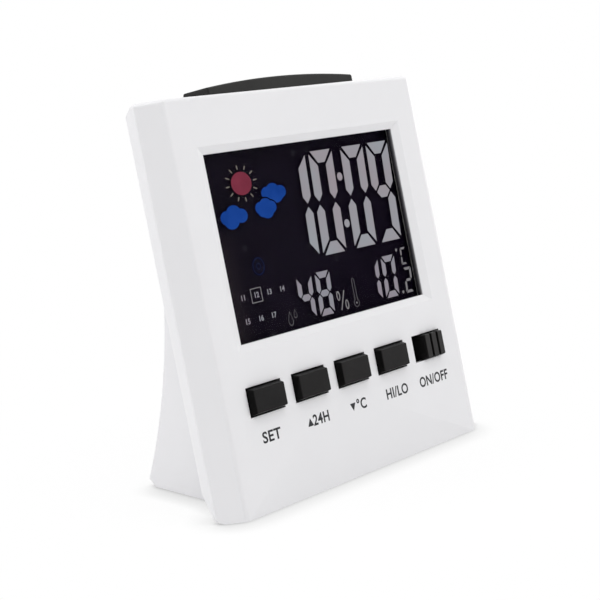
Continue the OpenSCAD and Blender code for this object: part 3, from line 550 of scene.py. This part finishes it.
def segmentOutlines(sign, cx, cv, shape):
    half, top, mid = shape["width"] / 2, shape["height"] / 2, shape["middle"] / 2
    t, corner, notch = shape["bar"], shape["corner"], shape["notch"]
    gap, shoulder = shape["gap"], shape["gap"] + shape["tip"]
    cap = [(corner - half, top), (half - corner, top),
           (half - t - notch, top - t), (t + notch - half, top - t)]
    side = [(-half, top - corner), (t - half, top - t - corner), (t - half, shoulder),
            (t / 2 - half, gap), (-half, shoulder)]
    hexagon = [(-mid, 0), (t / 2 - mid, t / 2), (mid - t / 2, t / 2),
               (mid, 0), (mid - t / 2, -t / 2), (t / 2 - mid, -t / 2)]
    shapes = {
        "a": cap, "f": side, "g": hexagon,
        "b": [(-x, v) for x, v in side], "d": [(x, -v) for x, v in cap],
        "e": [(x, -v) for x, v in side], "c": [(-x, -v) for x, v in side],
    }
    return [[(cx + x + slant * v, cv + v) for x, v in shapes[key]] for key in litSegments[sign]]


timeRow = {
    "signs": (("1", -3.80), ("0", 5.98), ("0", 17.59), ("9", 27.34)), "height": 60.04,
    "dots": ((12.12, 65.07), (11.41, 54.46)), "dotRadius": 0.93,
}
outlines = []
for sign, centre in timeRow["signs"]:
    outlines += segmentOutlines(sign, centre, timeRow["height"], bigFigure)
outlines += [dot(x, v, timeRow["dotRadius"], 48) for x, v in timeRow["dots"]]
litSlab("time_figures", outlines, "figure")

lowRow = {
    "signs": (("4", -7.67), ("8", -1.19), ("1", 17.01), ("0", 23.49)), "height": 40.51,
    "tenth": (30.33, 38.67), "point": (27.39, 36.18, 0.36),
    "unit": (30.13, 44.35), "degree": (27.74, 46.04, 0.36),
}
outlines = []
for sign, centre in lowRow["signs"]:
    outlines += segmentOutlines(sign, centre, lowRow["height"], smallFigure)
litSlab("reading_figures", outlines, "reading")
tenth = segmentOutlines("2", *lowRow["tenth"], tinyFigure)
litSlab("tenth_figure", tenth + [dot(*lowRow["point"])], "small")
unit = segmentOutlines("C", *lowRow["unit"], unitFigure)
litSlab("unit_figure", unit + [dot(*lowRow["degree"])], "small")
print("figures laid out")

# a thin sheet on the window's wall that carries painted shade
windowWall = {"half": 32.9, "low": 34.5, "high": 74.0, "line": 0.04, "front": 0.83, "back": 2.07}
wallRing = boxRing(-windowWall["half"], windowWall["low"],
                   windowWall["half"], windowWall["high"], windowWall["line"])
ringSlab("window_wall_shade", [wallRing], windowWall["front"], windowWall["back"], looks["wallShade"])


# the display's signs

percentSign = {"centre": (4.53, 37.97), "oval": (0.62, 1.1), "apart": (1.3, 1.15), "line": 0.30,
               "slash": (1.0, 2.1)}
px, pv = percentSign["centre"]
ax, av = percentSign["apart"]
sx, sv = percentSign["slash"]
rings = [ovalRing(px + way * ax, pv - way * av, *percentSign["oval"], percentSign["line"], 32)
         for way in (-1, 1)]
litRings("percent_rings", rings, "small")
stroke = bar(px - sx, pv - sv, px + sx, pv + sv, percentSign["line"])
litSlab("percent_stroke", [stroke], "small")

tempSign = {"across": 9.36, "top": 42.21, "tube": 0.5, "bulb": 36.63, "bulbRadius": 0.95,
            "line": 0.13, "dot": 0.22, "bulbSteps": 32, "topSteps": 12}


def thermometer(inset):
    # the outline runs round the bulb and then over the top of the straight tube
    tube, ball = tempSign["tube"] - inset, tempSign["bulbRadius"] - inset
    neck = math.asin(tube / ball)
    x, capHeight = tempSign["across"], tempSign["top"] - tempSign["tube"]
    points = []
    for i in range(tempSign["bulbSteps"] + 1):
        a = math.pi / 2 + neck + (2 * math.pi - 2 * neck) * i / tempSign["bulbSteps"]
        points.append((x + ball * math.cos(a), tempSign["bulb"] + ball * math.sin(a)))
    for i in range(tempSign["topSteps"] + 1):
        a = math.pi * i / tempSign["topSteps"]
        points.append((x + tube * math.cos(a), capHeight + tube * math.sin(a)))
    return points


litRings("warmth_sign", [(thermometer(0), thermometer(tempSign["line"]))], "faint")
litSlab("warmth_dot", [dot(tempSign["across"], tempSign["bulb"], tempSign["dot"])], "small")

dropSign = {"drops": ((-14.29, 37.08, 2.3, 3.2), (-12.45, 37.83, 1.6, 1.95)), "taper": 1.6,
            "inside": 0.86}


def teardrop(cx, cv, width, height, count=40):
    points = []
    for i in range(count):
        a = 2 * math.pi * i / count
        reach = width / 2 * math.sin(a / 2) ** dropSign["taper"]
        points.append((cx + reach * math.sin(a), cv + height / 2 * math.cos(a)))
    return points


def shrink(points, share):
    cx = sum(x for x, v in points) / len(points)
    cv = sum(v for x, v in points) / len(points)
    return [(cx + (x - cx) * share, cv + (v - cv) * share) for x, v in points]


drops = [teardrop(*drop) for drop in dropSign["drops"]]
litRings("drop_signs", [(drop, shrink(drop, dropSign["inside"])) for drop in drops], "faint")

sunSign = {"centre": (-21.38, 67.10), "disc": (3.2, 2.46), "rays": 12, "turn": 6,
           "rayFrom": 1.22, "rayTo": 1.58, "rayWidth": 0.27}
cx, cv = sunSign["centre"]
rx, rv = sunSign["disc"]
litSlab("sun_disc", [oval(cx, cv, rx, rv, 64)], "sun")
rays = []
for i in range(sunSign["rays"]):
    a = math.radians(sunSign["turn"] + 360 * i / sunSign["rays"])
    ends = [(cx + rx * share * math.cos(a), cv + rv * share * math.sin(a))
            for share in (sunSign["rayFrom"], sunSign["rayTo"])]
    rays.append(bar(*ends[0], *ends[1], sunSign["rayWidth"]))
litSlab("sun_rays", rays, "ray")

cloudSigns = {  # each lobe is (x, v, rx, rv) round its cloud's own centre
    "left": (-25.70, 60.49, ((-2.3, 0.0, 1.9, 1.5), (0.1, 0.95, 2.2, 1.5),
                             (2.35, 0.0, 1.95, 1.5), (-0.9, -0.85, 2.3, 1.65))),
    "front": (-15.14, 61.08, ((-1.7, 0.2, 1.7, 1.35), (0.1, 1.05, 1.8, 1.1), (1.8, 0.1, 1.7, 1.35),
                              (0.3, -0.95, 1.9, 1.25), (-1.0, -0.7, 1.7, 1.1))),
    "behind": (-11.65, 63.92, ((-2.25, 0.25, 1.8, 1.4), (-0.2, 1.05, 1.9, 1.2),
                               (2.2, 0.15, 1.9, 1.4), (0.4, -0.7, 2.4, 1.4))),
    "gap": (0.45, 0.4),  # clear space between the front cloud and the one behind it
    "gapCentre": (-15.19, 60.99),
}


def cloudOutline(cx, cv, lobes, count=96):
    # the outer edge of all the lobes, seen from the cloud's centre
    points = []
    for i in range(count):
        a = 2 * math.pi * i / count
        dx, dv = math.cos(a), math.sin(a)
        reach = 0.1
        for lx, lv, rx, rv in lobes:
            p = dx * dx / rx ** 2 + dv * dv / rv ** 2
            q = dx * lx / rx ** 2 + dv * lv / rv ** 2
            root = q * q - p * (lx * lx / rx ** 2 + lv * lv / rv ** 2 - 1)
            if root > 0:
                reach = max(reach, (q + math.sqrt(root)) / p)
        points.append((cx + reach * dx, cv + reach * dv))
    return points


def pushOut(point, outline):
    # moves a point that lies within the outline to its nearest edge point
    x, v = point
    within = False
    for (x0, v0), (x1, v1) in zip(outline, outline[1:] + outline[:1]):
        if (v0 > v) != (v1 > v) and x < (x1 - x0) * (v - v0) / (v1 - v0) + x0:
            within = not within
    if not within:
        return point
    return min(outline, key=lambda p: (p[0] - x) ** 2 + (p[1] - v) ** 2)


litSlab("cloud_signs", [cloudOutline(*cloudSigns[key]) for key in ("left", "front")], "cloud")
gapX, gapV = cloudSigns["gap"]
wideLobes = [(x, v, rx + gapX, rv + gapV) for x, v, rx, rv in cloudSigns["front"][2]]
gapEdge = cloudOutline(*cloudSigns["gapCentre"], wideLobes)
behind = [pushOut(point, gapEdge) for point in cloudOutline(*cloudSigns["behind"])]
litSlab("cloud_behind", [behind], "cloud")

ringSign = {"centre": (-21.17, 49.43), "radius": 1.9, "line": 0.26, "dot": 0.75, "dotLine": 0.2}
r, d = ringSign["radius"], ringSign["dot"]
rings = [ovalRing(*ringSign["centre"], r, r, ringSign["line"]),
         ovalRing(*ringSign["centre"], d, d, ringSign["dotLine"], 32)]
litRings("ring_sign", rings, "ring")


# numbers of the days and the legends printed under the keys

letterCut = {"capital": 0.7, "spacing": 1.05, "steps": 4}  # a capital's share of the font's size


def lettering(name, words, x, v, height, depths, material, width=1.0, weight=0.0):
    front, back = depths
    curve = bpy.data.curves.new(name, "FONT")
    curve.body = words
    curve.size = height / letterCut["capital"]
    curve.align_x = "CENTER"
    curve.align_y = "CENTER"
    curve.extrude = (back - front) / 2
    curve.offset = weight
    curve.space_character = letterCut["spacing"]
    curve.resolution_u = letterCut["steps"]
    draft = bpy.data.objects.new(name, curve)
    bpy.context.scene.collection.objects.link(draft)
    draft.matrix_world = (toWorld @ Matrix.Translation((x, (front + back) / 2, v))
                          @ Matrix.Rotation(math.radians(90), 4, "X")
                          @ Matrix.Diagonal((width, 1, 1, 1)))
    bpy.context.view_layer.update()
    evaluated = draft.evaluated_get(bpy.context.evaluated_depsgraph_get())
    mesh = bpy.data.meshes.new_from_object(evaluated)
    mesh.transform(draft.matrix_world)
    bpy.data.objects.remove(draft)
    mesh.name = name
    addPiece(name, mesh, material)


dayRow = {
    "rows": ((43.65, (-27.89, -23.61, -19.42, -15.14)), (38.67, (-27.89, -23.61, -19.42))),
    "first": 11, "height": 1.15, "weight": 0.03, "boxed": 12, "box": (1.75, 1.55), "line": 0.17,
}
places = [(x, v) for v, row in dayRow["rows"] for x in row]
for number, (x, v) in enumerate(places, dayRow["first"]):
    lettering("day_%d" % number, str(number), x, v, dayRow["height"],
              (layer["front"], layer["back"]), inks["reading"], weight=dayRow["weight"])
    if number == dayRow["boxed"]:
        bx, bv = dayRow["box"]
        litRings("day_box", [boxRing(x - bx, v - bv, x + bx, v + bv, dayRow["line"])], "small")
print("signs laid out")

legend = {"depths": (-0.012, 0.006), "row": 14.9, "height": 2.25, "weight": 0.075}
legendWords = (  # the words, their middle across the face, and their width
    ("SET", -30.0, 1.15), ("24H", -13.3, 1.0), ("°C", 1.2, 1.0), ("HI/LO", 14.8, 1.0),
    ("ON/OFF", 29.6, 0.95),
)
for i, (words, x, width) in enumerate(legendWords, 1):
    lettering("legend_%d" % i, words, x, legend["row"], legend["height"], legend["depths"],
              looks["print"], width, legend["weight"])

arrow = {"half": 0.95, "rise": 0.85, "places": ((-17.1, 1), (-1.9, -1))}  # 1 points up, -1 down
marks = []
for x, way in arrow["places"]:
    foot, tip = legend["row"] - way * arrow["rise"], legend["row"] + way * arrow["rise"]
    marks.append([(x - arrow["half"], foot), (x + arrow["half"], foot), (x, tip)])
slab("legend_arrows", marks, *legend["depths"], looks["print"])
print("legends printed")


# floor, light and camera

floorLook = {
    "dark": (0.955, 0.955, 0.96), "light": (0.97, 0.97, 0.97), "blotch": 3,
    "lift": 0.9, "near": 0.045, "far": 0.09,  # how white it is at the case, and all white from "far"
    "shadeTurn": (0.85, 0.7, 0),  # leans the shade towards what stands on this side of a point
    "wideShade": {"reach": 0.0075, "from": 0.3, "to": 0.92, "tone": 0.68},
    "narrowShade": {"reach": 0.0015, "from": 0.3, "to": 0.9, "tone": 0.72},
}
floorSet = {"radius": 7.0, "sides": 64, "drop": 0.00001}


def addTurnedNormal(tree, turn):
    surface = addNode(tree, "ShaderNodeNewGeometry")
    turned = addNode(tree, "ShaderNodeVectorMath")
    turned.operation = "ADD"
    turned.inputs[1].default_value = turn
    tree.links.new(surface.outputs["Normal"], turned.inputs[0])
    unit = addNode(tree, "ShaderNodeVectorMath")
    unit.operation = "NORMALIZE"
    tree.links.new(turned.outputs["Vector"], unit.inputs[0])
    return unit.outputs["Vector"]


def floorMaterial(name, look):
    mat, tree, out = newMaterial(name)
    coords = addNode(tree, "ShaderNodeTexCoord")
    matt = addNode(tree, "ShaderNodeBsdfDiffuse")
    tone = addTone(tree, addNoise(tree, coords, look["blotch"]), look)
    tree.links.new(tone, matt.inputs["Color"])
    glow = addNode(tree, "ShaderNodeEmission")
    glow.inputs["Color"].default_value = (1, 1, 1, 1)
    normal = addTurnedNormal(tree, look["shadeTurn"])
    wide = addContactShade(tree, look["wideShade"], normal)
    narrow = addContactShade(tree, look["narrowShade"], normal)
    tree.links.new(addMath(tree, "MULTIPLY", wide, narrow), glow.inputs["Strength"])
    reach = addNode(tree, "ShaderNodeVectorMath")
    reach.operation = "LENGTH"
    tree.links.new(coords.outputs["Object"], reach.inputs[0])
    far = addRange(tree, reach.outputs["Value"], look["lift"], 1.0,
                   (look["near"], look["far"]), smooth=True)
    mixer = addNode(tree, "ShaderNodeMixShader")
    tree.links.new(addMath(tree, "MULTIPLY", addSeenRays(tree), far), mixer.inputs["Fac"])
    tree.links.new(matt.outputs["BSDF"], mixer.inputs[1])
    tree.links.new(glow.outputs["Emission"], mixer.inputs[2])
    tree.links.new(mixer.outputs["Shader"], out.inputs["Surface"])
    return mat


rim = [(x, y, 0) for x, y in dot(0, 0, floorSet["radius"], floorSet["sides"])]
floorMesh = bpy.data.meshes.new("floor")
floorMesh.from_pydata(rim, [], [list(range(floorSet["sides"]))])
floorMesh.materials.append(floorMaterial("paleFloor", floorLook))
floor = bpy.data.objects.new("floor", floorMesh)
bpy.context.scene.collection.objects.link(floor)
floor.location.z = -floorSet["drop"]

lampTarget = (0, 0, 0.04)
lamps = {
    "overhead": {"place": (-0.05, 0.0, 0.9), "size": (1.1, 1.1), "power": 4.95},
    "frontRight": {"place": (0.6, -0.9, 0.5), "size": (0.8, 0.8), "power": 1.95},
    "right": {"place": (1.0, 0.1, 0.3), "size": (0.8, 0.6), "power": 1.6},
    "sideBack": {"place": (-0.85, 0.45, 0.35), "size": (0.7, 0.5), "power": 1.95},
}


def softLight(name, place, size, power):
    data = bpy.data.lights.new(name, "AREA")
    data.shape = "RECTANGLE"
    data.size, data.size_y = size
    data.energy = power
    lamp = bpy.data.objects.new(name, data)
    bpy.context.scene.collection.objects.link(lamp)
    lamp.location = place
    aim = Vector(lampTarget) - Vector(place)
    lamp.rotation_euler = aim.to_track_quat("-Z", "Y").to_euler()


for name, lamp in lamps.items():
    softLight(name, lamp["place"], lamp["size"], lamp["power"])

skyLook = {"seen": 1.0, "light": 0.53}  # white where it is seen, softer as light
world = bpy.data.worlds.new("studio")
bpy.context.scene.world = world
world.use_nodes = True
skyTree = world.node_tree
background = skyTree.nodes["Background"]
background.inputs["Color"].default_value = (1, 1, 1, 1)
sky = addRange(skyTree, addSeenRays(skyTree), skyLook["light"], skyLook["seen"])
skyTree.links.new(sky, background.inputs["Strength"])
bpy.context.scene.view_settings.view_transform = "Standard"

cameraSet = {
    "place": (-0.28221, -0.21944, 0.11113), "pitch": 78.19, "turn": -51.67,  # metres, degrees
    "lens": 98.98, "sensor": 36.0, "farthest": 50,
}
camData = bpy.data.cameras.new("camera")
camData.lens = cameraSet["lens"]
camData.sensor_width = cameraSet["sensor"]
camData.clip_end = cameraSet["farthest"]
camera = bpy.data.objects.new("camera", camData)
bpy.context.scene.collection.objects.link(camera)
camera.location = cameraSet["place"]
camera.rotation_euler = (math.radians(cameraSet["pitch"]), 0, math.radians(cameraSet["turn"]))
bpy.context.scene.camera = camera
print("stage set")
